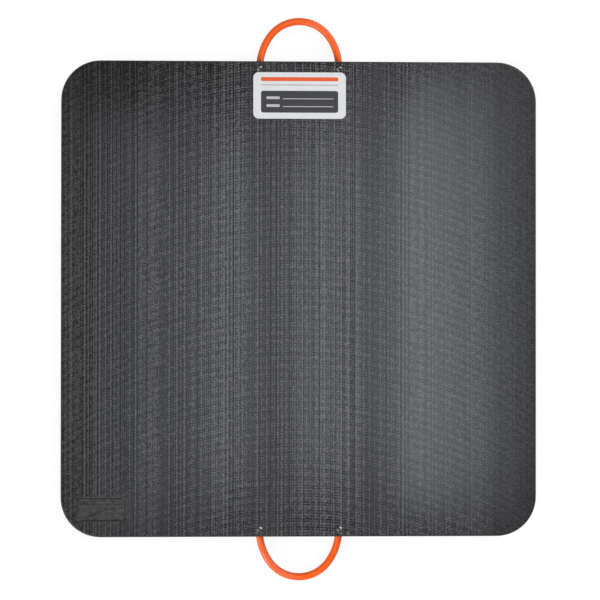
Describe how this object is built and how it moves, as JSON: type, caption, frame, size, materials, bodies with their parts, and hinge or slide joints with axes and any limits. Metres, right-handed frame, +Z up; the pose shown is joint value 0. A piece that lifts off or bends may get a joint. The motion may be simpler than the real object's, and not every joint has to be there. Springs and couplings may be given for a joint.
{
  "type": "crane outrigger pad",
  "caption": "Square charcoal plastic pad with round corners that spreads a crane outrigger's load, with an orange carry loop on two opposite sides and a white label plate.",
  "frame": {"origin": "middle of the pad's underside, on the ground", "axes": "+Z up through the pad's thickness, +Y towards the carry loop beside the label plate, +X to the right as the label is faced"},
  "size_m": [0.6096, 0.7254, 0.0254],
  "materials": {
    "pad_plastic": "planed charcoal polyethylene with fine streaks and faint cutter arcs",
    "loop_plastic": "smooth glossy orange",
    "screw_steel": "dark coated steel",
    "label_plastic": "white printed plate"
  },
  "bodies": {
    "root": {"pad": "pad_plastic", "handle_front": "loop_plastic", "handle_rear": "loop_plastic", "handle_screws": "screw_steel", "label_plate": "label_plastic"}
  },
  "joints": []
}
